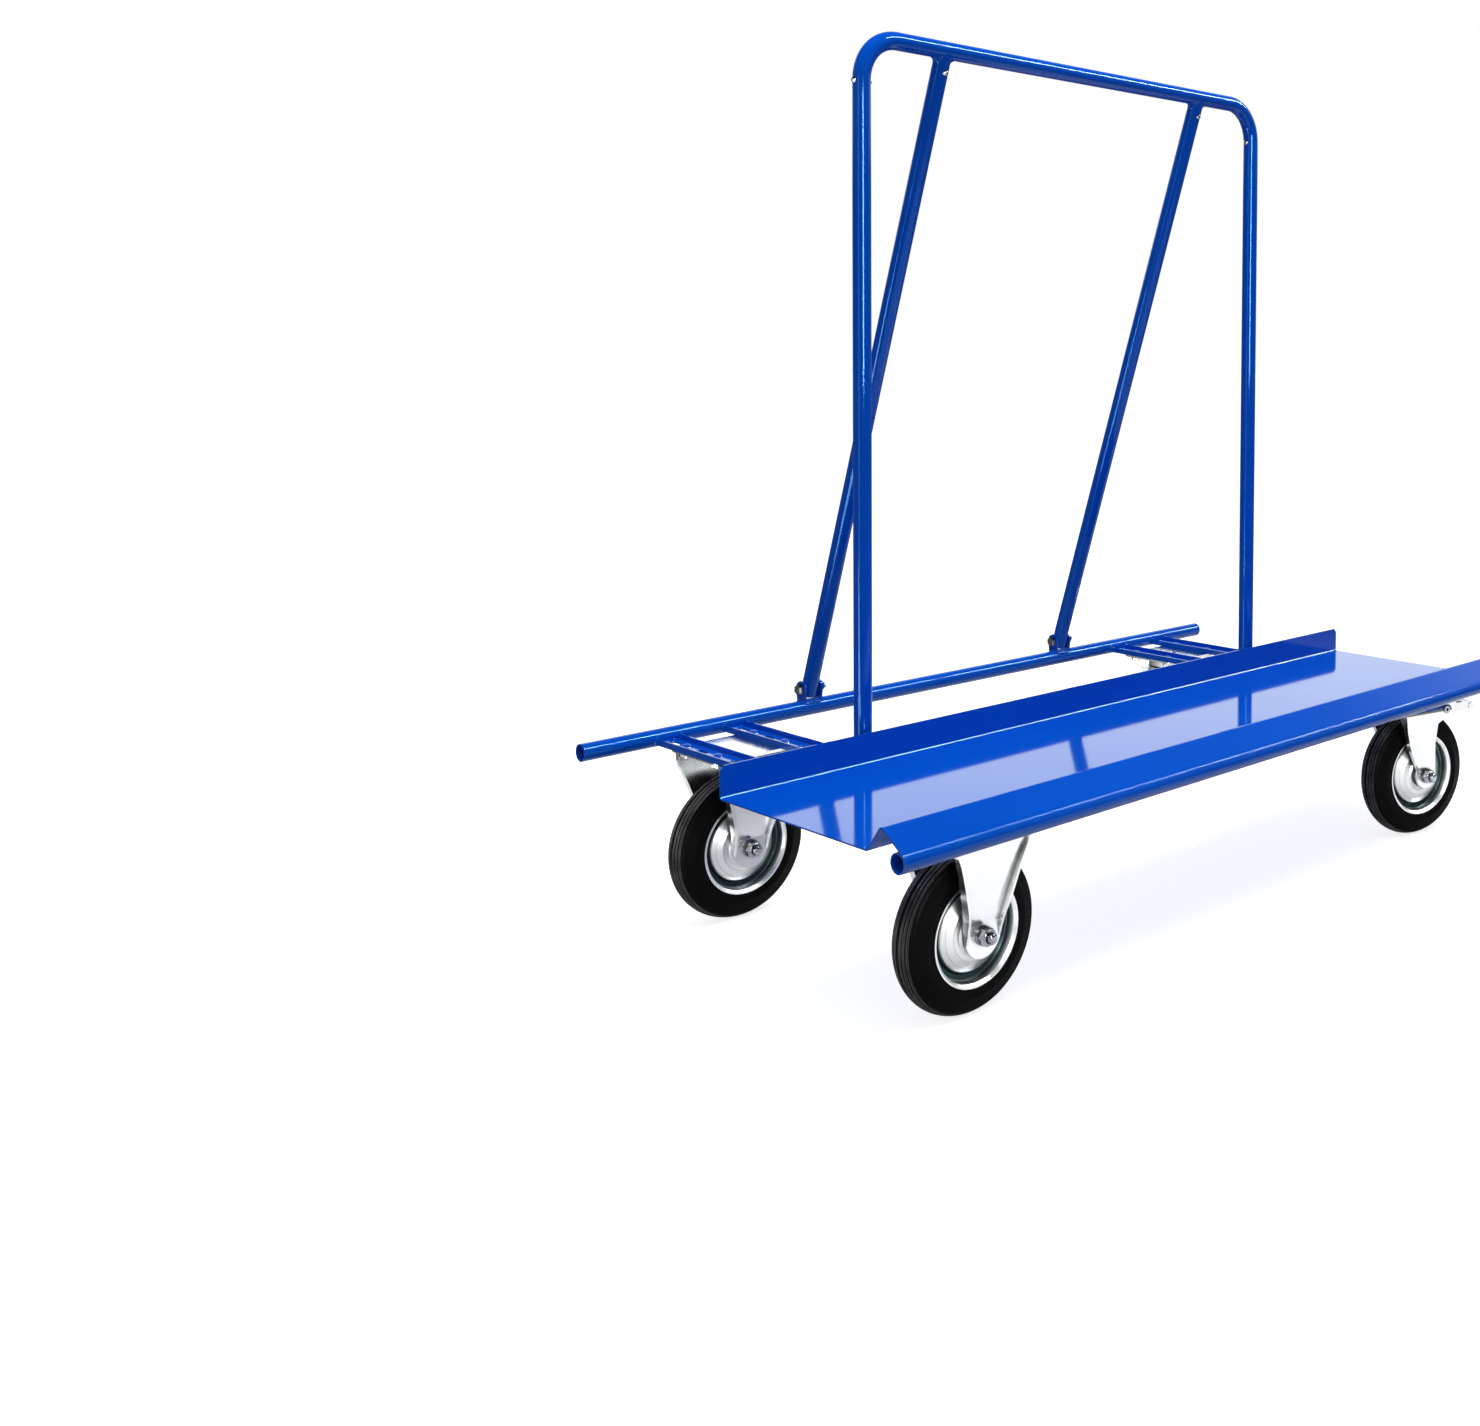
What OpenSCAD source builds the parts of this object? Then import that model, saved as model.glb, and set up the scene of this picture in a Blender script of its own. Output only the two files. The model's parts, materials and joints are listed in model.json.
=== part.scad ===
// Panel cart. A tubular base stands on four castors and carries a folded sheet tray.
// A bent hoop behind the tray holds long panels upright, with two braces down to the rear tube.
// X runs along the cart, the tray's open side faces -Y, and Z = 0 is the floor.

/* [Base] */
// Length of both base tubes and of the tray
cart_len = 1250; // [1150:10:1500]
// Distance between the axes of the two base tubes
tube_span = 660; // [650:5:740]
// Outer diameter of the frame tubes
tube_d = 24; // [22:1:25]
// Wall of the frame tubes
tube_wall = 2; // [1.5:0.25:2.5]
// Height of the base tubes' axes above the underside of the cross channels
tube_rise = 7; // [6:0.5:9]

/* [Cross channels] */
// Outer width of a cross channel
channel_w = 38; // [36:1:40]
// Height of a cross channel
channel_h = 9; // [8:0.5:11]
// Sheet thickness of a cross channel
channel_t = 2; // [1.5:0.5:2]
// Width of the slots in the channel webs
slot_w = 10; // [6:1:12]
// Length of the slots in the channel webs
slot_len = 24; // [18:1:28]

/* [Tray] */
// Sheet thickness of the tray
tray_t = 2; // [1.5:0.25:2.5]
// Height of the rear flange above the deck
flange_h = 39; // [25:1:60]
// Distance from the flange's face to the foot of the front ridge
deck_depth = 278; // [262:2:284]
// Distance from the flange's face to the top of the front ridge
ridge_reach = 302; // [298:1:308]
// Height of the front ridge above the deck
ridge_h = 31; // [24:1:40]
// Inner radius of the tray's folds
fold_r = 3; // [2:0.5:4]
// Size of the cut corners of the flange
corner_cut = 6; // [3:1:12]

/* [Hoop and braces] */
// Height of the hoop's top tube axis above the floor
hoop_top = 1178; // [1000:2:1300]
// Distance from the tray flange's back to the hoop's legs
hoop_gap = 10; // [6:0.5:16]
// Bend radius of the hoop at the tube's axis
bend_r = 56; // [50:1:90]
// Distance of each brace from the middle of the cart
brace_x = 261; // [180:1:300]
// Height of the brace bolts above the rear tube's axis
brace_rise = 29; // [27:1:34]
// Thickness of the clevis ears at the brace feet
ear_t = 3; // [2.5:0.5:4]
// Length of the spigots inside the hoop's legs
spigot_len = 60; // [40:5:90]
// Distance of the vent rivets below the hoop's bends and the top tube
rivet_drop = 28; // [24:1:34]

/* [Castors] */
// Wheel diameter
wheel_d = 200; // [190:1:205]
// Width of the tyre at its widest
tyre_w = 48; // [44:1:50]
// Diameter of the rim's lip
rim_d = 129; // [122:1:136]
// Height from the floor to the top of the castor plates
castor_h = 234; // [232:1:250]
// Distance of the castor axes from the middle of the cart, along the cart
castor_x = 450; // [400:5:480]
// Distance of the castor axes from the middle of the cart, across the cart
castor_y = 235; // [225:1:240]
// Distance between the plate's bolts, along the cart
bolt_dx = 105; // [100:1:108]
// Distance between the plate's bolts, across the cart
bolt_dy = 75; // [72:1:80]
// Thickness of the castor plates
plate_t = 4; // [3:0.5:5]
// Trail of the swivel castors
trail = 45; // [42:1:52]
// Angle at which the front swivel castor stands
front_turn = -13.4; // [-40:0.1:40]
// Angle at which the rear swivel castor stands
rear_turn = 7; // [-40:0.1:40]
// Sheet thickness of the forks
fork_t = 3.5; // [3:0.25:4]
// Diameter of the wheel axles
axle_d = 12; // [10:1:12]
// Turn of the brake pedal from free to braked
brake_angle = 9; // [6:1:10]

/* [Hidden] */
$fn = 64;

blue = [0.02, 0.27, 0.78];
zinc = [0.80, 0.82, 0.85];
rubber = [0.07, 0.07, 0.08];
steel = [0.62, 0.64, 0.67];

// Clearance between pieces that are welded or lie on each other
seat = 0.05;
// Clearance of a bolt in its hole
bolt_play = 0.25;
// Radial clearance of a turning shaft in its bore
running = 0.05;
eps = 1;

tube_r = tube_d / 2;
bore_r = tube_r - tube_wall;
half_len = cart_len / 2;
tube_y = tube_span / 2;
tube_z = castor_h + tube_rise;
web_top = castor_h + channel_t;
channel_top = castor_h + channel_h;
channel_dx = bolt_dx / 2;
deck_z = channel_top + tray_t;
slot_steps = [110, 155, 235, 301];

leg_x = castor_x - channel_dx;
leg_y = tray_t + hoop_gap + tube_r;
leg_foot = web_top + seat;
bend_z = hoop_top - bend_r;

brace_foot = [tube_y, tube_z + brace_rise];
brace_run = brace_foot.x - leg_y;
brace_fall = hoop_top - brace_foot.y;
brace_tilt = atan2(brace_run, brace_fall);
brace_len = norm([brace_run, brace_fall]);
brace_tail = 10;
clevis_in = tube_d / 2 + 0.8;
ear_r = 12;
ear_hole = 4 + bolt_play;

rivet_r = 2.4;
rivet_head = 4.2;

plate_z = castor_h - plate_t;
plate_len = bolt_dy + 35;
plate_w = bolt_dx + 30;
plate_bolt_d = 10;
plate_bolt_af = 16;
plate_bolt_head = 4.5;
plate_nut_h = 6;
plate_bolt_end = 2;
wheel_r = wheel_d / 2;
rim_r = rim_d / 2;
fork_top = plate_z;
// The plate's bolts end here, and a fork leaves this much room round their nuts
nut_room_z = plate_z - plate_nut_h - plate_bolt_end - 2;
nut_room_r = plate_bolt_af / 2 + 1.8;
fork_foot_r = 27;
fork_gap_foot = tyre_w / 2 + 6.3;
fork_gap_head = fork_gap_foot + 9;
fork_bend = 8;
knee_z = wheel_r + 50;
fixed_gap_head = 50;
fixed_knee = wheel_r + 14;
fixed_head = 58;
hub_half = fork_gap_foot - 0.8;
axle_r = axle_d / 2;
sleeve_r = axle_r + 4;
roller_r = 2.4;
roller_ring = sleeve_r + running + roller_r;
hub_bore = roller_ring + roller_r + running;
hub_r = hub_bore + 3;
// Longer than a castor is wide, for holes that go through both legs
through = 4 * fork_gap_head;

// Angles about the crown's centre at which the tread ends and at which its grooves lie
tread_turn = 34;
groove_turns = [9, 20, 31];
groove_depth = 1.6;
groove_w = 1.8;

// Places along a castor's trail, from its upright axis
ball_r = 4;
ball_ring = 30;
race_gap = 3;
crown_top = castor_h - 22;
crown_t = 4.5;
crown_r = ball_ring + 12;
ball_z = crown_top + race_gap / 2;
race_r = crown_r - 1;
small_ball_r = 3;
small_ball_ring = 15;
small_ball_z = crown_top - crown_t - 1.5;
pin_r = 8;

// Pedal: its pivot from the castor's axis, and its own sizes from the pivot
pivot = [trail + 35, crown_top - 8];
pivot_r = 4;
pedal_t = 2.5;
pedal_room = fork_gap_head - 1.8;
pedal_cheek = pedal_room - 1;
pedal_half = 20;
pedal_reach = 84;
pedal_knee = [30, 11];
pedal_tip = -2;
pedal_skirt = -13.5;
roll_r = 5.5;

// A point at angle a on a circle
function on_circle(c, r, a) = [c.x + r * cos(a), c.y + r * sin(a)];
// Points of an arc from a0 to a1
function arc(c, r, a0, a1, n = 8) = [for (i = [0 : n]) on_circle(c, r, a0 + (a1 - a0) * i / n)];

// Turns the X axis of a child into the cart's Y axis, for a profile drawn in Y and Z and drawn along X
module along_x(length) {
    rotate([90, 0, 90]) translate([0, 0, -length / 2]) linear_extrude(length) children();
}

module tube_x(length, r, y = 0, z = 0) {
    translate([-length / 2, y, z]) rotate([0, 90, 0]) cylinder(h = length, r = r);
}

module pipe_x(length, y, z) {
    difference() {
        tube_x(length, tube_r, y, z);
        tube_x(length + 2 * eps, bore_r, y, z);
    }
}

module hex(af, h) {
    cylinder(h = h, d = af / cos(30), $fn = 6);
}

// A bolt that points up from its head, with its shoulder at z = 0
module bolt(d, length, af, head) {
    translate([0, 0, -head]) hex(af, head);
    translate([0, 0, -seat]) cylinder(h = length + seat, d = d);
}

module nut(d, af, h) {
    difference() {
        hex(af, h);
        translate([0, 0, -eps]) cylinder(h = h + 2 * eps, r = d / 2 + seat);
    }
}

// Base
module front_tube() {
    color(blue) pipe_x(cart_len, -tube_y, tube_z);
}

module rear_tube() {
    color(blue) pipe_x(cart_len, tube_y, tube_z);
}

module slot(w, length, h) {
    for (s = [-1, 1]) translate([0, s * (length - w) / 2, 0]) cylinder(h = h, d = w);
    translate([-w / 2, -(length - w) / 2, 0]) cube([w, length - w, h]);
}

module at_channel_bolts() {
    for (s = [-1, 1], t = [-1, 1]) translate([0, s * (castor_y + t * bolt_dy / 2), 0]) children();
}

module channel(x) {
    color(blue) translate([x, 0, 0]) difference() {
        translate([0, 0, castor_h]) difference() {
            translate([-channel_w / 2, -tube_y, 0]) cube([channel_w, tube_span, channel_h]);
            translate([-channel_w / 2 + channel_t, -tube_y - eps, channel_t])
                cube([channel_w - 2 * channel_t, tube_span + 2 * eps, channel_h]);
        }
        for (s = [-1, 1]) tube_x(channel_w + 2 * eps, tube_r + seat, s * tube_y, tube_z);
        for (s = [-1, 1], y = slot_steps) translate([0, s * y, castor_h - eps])
            slot(slot_w, slot_len, channel_t + 2 * eps);
        at_channel_bolts() translate([0, 0, castor_h - eps])
            cylinder(h = channel_t + 2 * eps, r = plate_bolt_d / 2 + bolt_play);
    }
}

// Tray: a strip of sheet folded round the points below, drawn in Y and Z
ridge_in = [-ridge_reach, deck_z + ridge_h];
wrap_c = [-tube_y, tube_z];
wrap_r = tube_r + seat + tray_t;
ridge_to_tube = ridge_in - wrap_c;
inner_rise = atan2(ridge_h, ridge_reach - deck_depth);
outer_fall = atan2(ridge_to_tube.y, ridge_to_tube.x) - asin(wrap_r / norm(ridge_to_tube));
ridge_turn = inner_rise + outer_fall;
crest_r = fold_r + tray_t;
crest_c = ridge_in - on_circle([0, 0], crest_r / cos(ridge_turn / 2), 90 + (outer_fall - inner_rise) / 2);
foot_c = [-deck_depth + fold_r * tan(inner_rise / 2), deck_z + fold_r];
back_c = [-fold_r, deck_z + fold_r];

module tray() {
    upper = concat(
        [[0, deck_z + flange_h]],
        arc(back_c, fold_r, 0, -90),
        arc(foot_c, fold_r, -90, -90 - inner_rise),
        arc(crest_c, crest_r, 90 - inner_rise, 90 + outer_fall),
        arc(wrap_c, wrap_r, 90 + outer_fall, 185)
    );
    lower = concat(
        arc(wrap_c, wrap_r - tray_t, 185, 90 + outer_fall),
        arc(crest_c, fold_r, 90 + outer_fall, 90 - inner_rise),
        arc(foot_c, fold_r + tray_t, -90 - inner_rise, -90),
        arc(back_c, fold_r + tray_t, -90, 0),
        [[tray_t, deck_z + flange_h]]
    );
    color(blue) difference() {
        along_x(cart_len) polygon(concat(upper, lower));
        for (s = [-1, 1]) translate([s * half_len, 0, deck_z + flange_h]) rotate([0, 45, 0])
            cube([corner_cut * sqrt(2), 4 * fold_r, corner_cut * sqrt(2)], center = true);
    }
}

// Hoop: one bent tube, drawn solid with radius r
module hoop_path(r, over = 0) {
    for (s = [-1, 1]) {
        translate([s * leg_x, leg_y, leg_foot - over]) cylinder(h = bend_z - leg_foot + over, r = r);
        translate([s * (leg_x - bend_r), leg_y, bend_z]) rotate([90, 0, 0])
            rotate([0, 0, s > 0 ? 0 : 90]) rotate_extrude(angle = 90) translate([bend_r, 0]) circle(r = r);
    }
    tube_x(2 * (leg_x - bend_r), r, leg_y, hoop_top);
}

module at_leg_rivets() {
    for (s = [-1, 1]) translate([s * leg_x, leg_y, bend_z - 2]) rotate([0, 90, 0]) children();
}

module at_brace_rivets() {
    for (s = [-1, 1]) translate([s * brace_x, leg_y, hoop_top]) rotate([brace_tilt, 0, 0])
        translate([0, 0, -rivet_drop]) rotate([90, 0, 0]) children();
}

module at_leg_bolts() {
    for (s = [-1, 1]) translate([s * leg_x, leg_y, channel_top + 27]) rotate([0, 90, 0]) children();
}

module hoop() {
    color(blue) difference() {
        hoop_path(tube_r);
        hoop_path(bore_r, eps);
        at_leg_rivets() cylinder(h = 2 * tube_d, r = rivet_r + seat, center = true);
        at_leg_bolts() cylinder(h = 2 * tube_d, r = 3 + bolt_play, center = true);
    }
}

module leg_spigots() {
    spigot_r = bore_r - 2 * seat;
    color(blue) difference() {
        for (s = [-1, 1]) translate([s * leg_x, leg_y, web_top]) difference() {
            cylinder(h = spigot_len, r = spigot_r);
            translate([0, 0, -eps]) cylinder(h = spigot_len + 2 * eps, r = spigot_r - tube_wall);
        }
        at_leg_bolts() cylinder(h = 2 * tube_d, r = 3 + bolt_play, center = true);
    }
}

module leg_bolts() {
    color(zinc) at_leg_bolts() {
        translate([0, 0, -tube_r]) bolt(6, tube_d + 8, 10, 4);
        translate([0, 0, tube_r + seat]) nut(6, 10, 5);
    }
}

module vent_rivet() {
    cylinder(h = tube_d + 2 * seat, r = rivet_r, center = true);
    for (s = [0, 180]) rotate([s, 0, 0]) translate([0, 0, tube_r + seat]) rotate_extrude()
        polygon(concat(
            [[0, 0], [rivet_head, 0], [rivet_head, 0.5]], arc([0, -0.6], rivet_head, 20, 90, 5)
        ));
}

module vent_rivets() {
    color(zinc) {
        at_leg_rivets() vent_rivet();
        at_brace_rivets() vent_rivet();
    }
}

module brace(x) {
    length = brace_len + brace_tail;
    color(blue) translate([x, 0, 0]) difference() {
        translate([0, leg_y, hoop_top]) rotate([180 + brace_tilt, 0, 0]) difference() {
            cylinder(h = length, r = tube_r);
            translate([0, 0, -eps]) cylinder(h = length + 2 * eps, r = bore_r);
        }
        tube_x(2 * tube_d, tube_r + seat, leg_y, hoop_top);
        translate([0, brace_foot.x, brace_foot.y]) rotate([0, 90, 0])
            cylinder(h = 2 * tube_d, r = ear_hole, center = true);
        translate([-x, 0, 0]) at_brace_rivets() cylinder(h = 2 * tube_d, r = rivet_r + seat, center = true);
    }
}

module at_brace_feet() {
    for (s = [-1, 1]) translate([s * brace_x, brace_foot.x, brace_foot.y]) children();
}

module brace_clevises() {
    foot_w = 2 * (clevis_in + ear_t);
    color(blue) difference() {
        at_brace_feet() {
            for (s = [-1, 1]) translate([s * (clevis_in + ear_t / 2), 0, 0]) rotate([90, 0, 90])
                translate([0, 0, -ear_t / 2]) linear_extrude(ear_t) {
                    circle(r = ear_r);
                    polygon([[-ear_r, 0], [-8, -brace_rise + 2], [8, -brace_rise + 2], [ear_r, 0]]);
                }
            translate([-foot_w / 2, -8, -brace_rise + 4]) cube([foot_w, 16, tube_r - 1]);
        }
        tube_x(cart_len, tube_r + seat, tube_y, tube_z);
        at_brace_feet() rotate([0, 90, 0]) cylinder(h = 2 * foot_w, r = ear_hole, center = true);
    }
}

module brace_bolts() {
    reach = clevis_in + ear_t;
    color(zinc) at_brace_feet() {
        translate([-reach - 1.6 - seat, 0, 0]) rotate([0, 90, 0]) bolt(8, 2 * reach + 13, 13, 5.3);
        translate([-reach - 1.6, 0, 0]) rotate([0, 90, 0]) difference() {
            cylinder(h = 1.6, r = 8);
            translate([0, 0, -eps]) cylinder(h = 4, r = ear_hole);
        }
    }
}

module brace_nuts() {
    color(zinc) at_brace_feet() translate([clevis_in + ear_t + seat, 0, 0]) rotate([0, 90, 0])
        nut(8, 13, 6.5);
}

// Castors. A castor is drawn about its upright axis, with its wheel trailing towards +X.
module at_castor(x, y, turn = 0) {
    translate([x * castor_x, y * castor_y, 0]) rotate([0, 0, turn]) children();
}

module at_plate_bolts() {
    for (s = [-1, 1], t = [-1, 1]) translate([s * channel_dx, t * bolt_dy / 2, 0]) children();
}

module every_plate() {
    for (x = [-1, 1], y = [-1, 1]) at_castor(x, y) at_plate_bolts() children();
}

// The bolts' domed heads lie on the channels, and their nuts are under the plates
module castor_bolts() {
    end = plate_z - plate_nut_h - plate_bolt_end;
    r = plate_bolt_af / 2;
    dome = (r * r + plate_bolt_head * plate_bolt_head) / (2 * plate_bolt_head);
    color(zinc) every_plate() {
        translate([0, 0, end]) cylinder(h = web_top - end, d = plate_bolt_d);
        translate([0, 0, web_top]) rotate_extrude() polygon(concat(
            [[0, 0]], arc([0, plate_bolt_head - dome], dome, asin((dome - plate_bolt_head) / dome), 90)
        ));
    }
}

module castor_nuts() {
    color(zinc) every_plate() translate([0, 0, plate_z - seat - plate_nut_h])
        nut(plate_bolt_d, plate_bolt_af, plate_nut_h);
}

module plate_blank() {
    corner = 8;
    x = plate_w / 2 - corner;
    y = plate_len / 2 - corner;
    difference() {
        translate([0, 0, plate_z]) linear_extrude(plate_t) polygon(concat(
            arc([x, y], corner, 0, 90), arc([-x, y], corner, 90, 180),
            arc([-x, -y], corner, 180, 270), arc([x, -y], corner, 270, 360)
        ));
        at_plate_bolts() translate([0, 0, plate_z - eps]) rotate([0, 0, 90])
            slot(plate_bolt_d + 2 * bolt_play, 13, plate_t + 2 * eps);
    }
}

module plate_fixed(y) {
    color(zinc) at_castor(-1, y) plate_blank();
}

module plate_swivel(y) {
    race_z = ball_z + race_gap / 2;
    race_roof = 4;
    color(zinc) at_castor(1, y) difference() {
        union() {
            plate_blank();
            translate([0, 0, race_z]) cylinder(h = plate_z - race_z + eps, r = race_r);
        }
        translate([0, 0, race_z - eps]) cylinder(h = castor_h - race_z + 2 * eps, r = pin_r + seat);
        translate([0, 0, race_z - eps])
            cylinder(h = plate_z - race_z + eps - race_roof, r = ball_ring - 2 * ball_r - eps);
        ball_track(ball_z, ball_ring, ball_r);
    }
}

// Room for a ring of balls
module ball_track(z, ring, r) {
    translate([0, 0, z]) rotate_extrude() translate([ring, 0]) circle(r = r + running);
}

// Inner face of a fork's leg at height z: upright up to the knee, then out to head below the top bend
function leg_face(z, top, head, knee) =
    fork_gap_foot + (head - fork_gap_foot) * min(1, max(0, z - knee) / (top - fork_bend - knee));

// Half of a fork's sheet in section, in Y and Z: crown, bend, sloping shoulder and upright leg
function fork_line(top, head, knee, out) = concat(
    [[0, top + out]],
    arc([head - fork_bend, top - fork_bend], fork_bend + out, 90, 8, 6),
    [[fork_gap_foot + out, knee], [fork_gap_foot + out, 0]]
);

function reversed(points) = [for (i = [len(points) - 1 : -1 : 0]) points[i]];

module fork_sheet(top, head, knee, length) {
    along_x(length) for (s = [0, 1]) mirror([s, 0])
        polygon(concat(fork_line(top, head, knee, fork_t), reversed(fork_line(top, head, knee, 0))));
}

// Turned-out edge of both legs: a band as deep as each [height, depth] of a list says, in Y and Z
module edge_band(top, head, knee, steps, length) {
    inner = [for (step = steps) [leg_face(step[0], top, head, knee), step[0]]];
    outer = [for (step = steps) [leg_face(step[0], top, head, knee) + fork_t + step[1], step[0]]];
    along_x(length) for (s = [0, 1]) mirror([s, 0])
        polygon(concat(outer, reversed(inner)));
}

// Outline of a straight fork leg, seen from the side, with its flanks drawn in by trim
module fixed_outline(trim = 0) {
    flank = [
        [fork_foot_r, wheel_r], [fork_foot_r, fixed_knee - 8], [29.5, 124], [34, 141], [40.5, 164],
        [46, 182], [52, 198], [56, 207], [fixed_head, 216], [fixed_head, fork_top]
    ];
    translate([0, wheel_r]) circle(r = fork_foot_r - trim);
    for (s = [0, 1]) mirror([s, 0]) polygon(concat(
        [[0, fork_top], [0, wheel_r]], [for (point = flank) [point.x - trim, point.y]]
    ));
}

module swivel_outline() {
    head_front = -23;
    foot = 20;
    ear = 12;
    sweep = atan2(trail - foot - head_front, crown_top - wheel_r);
    translate([trail, wheel_r]) circle(r = foot);
    polygon([
        [head_front, crown_top], on_circle([trail, wheel_r], foot, 180 - sweep), [trail + foot, wheel_r],
        [trail + foot, pivot.y - 22], on_circle(pivot, ear, -50), on_circle(pivot, ear, 0),
        on_circle(pivot, ear, 42), [pivot.x, crown_top]
    ]);
    intersection() {
        translate(pivot) circle(r = ear);
        square([2 * pivot.x, crown_top]);
    }
}

module upright(y0, y1) {
    translate([0, y1, 0]) rotate([90, 0, 0]) linear_extrude(y1 - y0) children();
}

// A hole across both legs at x and z, seen from the side
module cross_hole(x, z, r) {
    translate([x, 0, z]) rotate([90, 0, 0]) cylinder(h = through, r = r, center = true);
}

module fork_fixed(y) {
    reach = through / 2;
    top = fork_top - fork_t;
    edge = [[wheel_r - 6, 0], [106, 3.5], [fixed_knee, 5.5], [135, 8], [199, 5], [212, 3], [top, 3]];
    color(zinc) at_castor(-1, y) difference() {
        union() {
            intersection() {
                fork_sheet(top, fixed_gap_head, fixed_knee, plate_w);
                upright(-reach, reach) fixed_outline();
            }
            intersection() {
                edge_band(top, fixed_gap_head, fixed_knee, edge, plate_w);
                upright(-reach, reach) difference() {
                    fixed_outline();
                    fixed_outline(fork_t);
                }
            }
        }
        cross_hole(0, wheel_r, axle_r + bolt_play);
        // Holes of the crown, which leave room for the plate's nuts
        at_plate_bolts() translate([0, 0, nut_room_z])
            cylinder(h = plate_z - nut_room_z + eps, r = nut_room_r);
    }
}

module fork_swivel(y, turn) {
    reach = through / 2;
    sheet_len = 2 * (pivot.x + ear_r + eps);
    edge = [[wheel_r + 12, 0], [128, 2.5], [knee_z, 4], [178, 6.5], [crown_top - 5, 14]];
    color(zinc) at_castor(1, y, turn) difference() {
        union() {
            intersection() {
                fork_sheet(crown_top - fork_t, fork_gap_head, knee_z, sheet_len);
                upright(-reach, reach) swivel_outline();
            }
            intersection() {
                edge_band(crown_top - fork_t, fork_gap_head, knee_z, edge, sheet_len);
                upright(-reach, reach) difference() {
                    swivel_outline();
                    translate([fork_t, 0]) swivel_outline();
                    translate([trail, 0]) square([2 * trail, castor_h]);
                }
            }
            translate([0, 0, crown_top - crown_t]) cylinder(h = crown_t, r = crown_r);
        }
        cross_hole(trail, wheel_r, axle_r + bolt_play);
        // Room for the pedal behind the crown
        translate([crown_r + 2, -pedal_room, pivot.y - 12]) cube([2 * trail, 2 * pedal_room, 2 * trail]);
        translate([0, 0, crown_top - 2 * crown_t]) cylinder(h = 4 * crown_t, r = pin_r + running);
        ball_track(ball_z, ball_ring, ball_r);
        ball_track(small_ball_z, small_ball_ring, small_ball_r);
        cross_hole(pivot.x, pivot.y, pivot_r + running);
    }
}

// Axle: bolt from the far side, spacer sleeve between the legs, washer and nut on the near side
module axle(x) {
    outside = fork_gap_foot + fork_t + seat;
    washer_t = 2;
    color(steel) translate([x, 0, wheel_r]) rotate([90, 0, 0]) {
        translate([0, 0, -outside]) bolt(axle_d, 2 * outside + washer_t + 12, 19, 7.5);
        difference() {
            cylinder(h = 2 * (fork_gap_foot - seat), r = sleeve_r, center = true);
            cylinder(h = 2 * fork_gap_foot, r = axle_r + seat, center = true);
        }
        translate([0, 0, outside]) difference() {
            cylinder(h = washer_t, r = axle_d);
            translate([0, 0, -eps]) cylinder(h = washer_t + 2 * eps, r = axle_r + seat);
        }
        translate([0, 0, outside + washer_t + seat]) nut(axle_d, 19, 10);
    }
}

// Wheels, revolved about the axle
module revolve(x) {
    translate([x, 0, wheel_r]) rotate([90, 0, 0]) rotate_extrude() children();
}

// A closed outline from its half on the near side, which ends short of the middle plane at both ends
function both_sides(half) = concat(half, reversed([for (point = half) [point.x, -point.y]]));

module tyre(x) {
    side = tyre_w / 2;
    crown = 26;
    shoulder = 12;
    crown_c = [wheel_r - crown, 0];
    shoulder_c = on_circle(crown_c, crown - shoulder, tread_turn);
    color(rubber) revolve(x) difference() {
        polygon(both_sides(concat(
            [[rim_r - 3, side - 4], [rim_r, side - 1.5]],
            arc([rim_r + 10, side - 9], 9, 105, 62, 4),
            arc(shoulder_c, shoulder, 62, tread_turn, 5),
            arc(crown_c, crown, tread_turn, 4, 5)
        )));
        for (a = groove_turns, s = [-1, 1]) translate(crown_c) rotate(s * a)
            translate([crown - groove_depth, -groove_w / 2]) square([2 * groove_depth, groove_w]);
    }
}

module rim(x) {
    side = tyre_w / 2 - 1;
    t = 2;
    seat_r = rim_r - 3 - seat;
    // Outer face of a pressed half, from the bead seat over the lip, the sunk ring and the dome to the hub
    face = [
        [seat_r, side - 3 + seat], [rim_r - seat, side - 0.5 + seat], [rim_r - seat, side + 1],
        [rim_r - 2, side + 1], [rim_r - 5, side - 2], [rim_r - 6, 10], [rim_r - 13, 8.5],
        [rim_r - 17, 13], [rim_r - 30, 20],
        [hub_r + 9, 22], [hub_r + 6, 24.5], [hub_r, 25]
    ];
    back = [
        [hub_r, 25 - t], [hub_r + 5, 24.5 - t], [hub_r + 8, 22 - t], [rim_r - 30.5, 20 - t],
        [rim_r - 18, 13 - t], [rim_r - 13, 8.5 - t], [rim_r - 8, 10 - t]
    ];
    color(zinc) revolve(x) {
        difference() {
            polygon(both_sides(face));
            polygon(both_sides(back));
        }
        translate([hub_bore, -hub_half]) square([hub_r - hub_bore, 2 * hub_half]);
    }
}

module rollers(x) {
    count = 12;
    roller_half = hub_half - 6;
    cage = 0.9;
    color(steel) translate([x, 0, wheel_r]) rotate([90, 0, 0]) {
        for (i = [0 : count - 1]) rotate([0, 0, i * 360 / count]) translate([roller_ring, 0, 0])
            cylinder(h = 2 * roller_half, r = roller_r, center = true);
        difference() {
            cylinder(h = 2 * (hub_half - 1), r = roller_ring + cage, center = true);
            cylinder(h = 2 * hub_half, r = roller_ring - cage, center = true);
            for (i = [0 : count - 1]) rotate([0, 0, i * 360 / count]) translate([roller_ring, 0, 0])
                cylinder(h = 2 * roller_half + 0.4, r = roller_r + seat, center = true);
        }
    }
}

// Swivel head
module kingpin(y) {
    collar_top = crown_top - crown_t - 3;
    color(steel) at_castor(1, y) difference() {
        union() {
            translate([0, 0, collar_top - eps]) cylinder(h = castor_h - collar_top - seat, r = pin_r);
            translate([0, 0, collar_top - 6]) cylinder(h = 6, r = small_ball_ring + 5);
            translate([0, 0, collar_top - 9]) cylinder(h = 4, r = pin_r + 2);
        }
        ball_track(small_ball_z, small_ball_ring, small_ball_r);
    }
}

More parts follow.
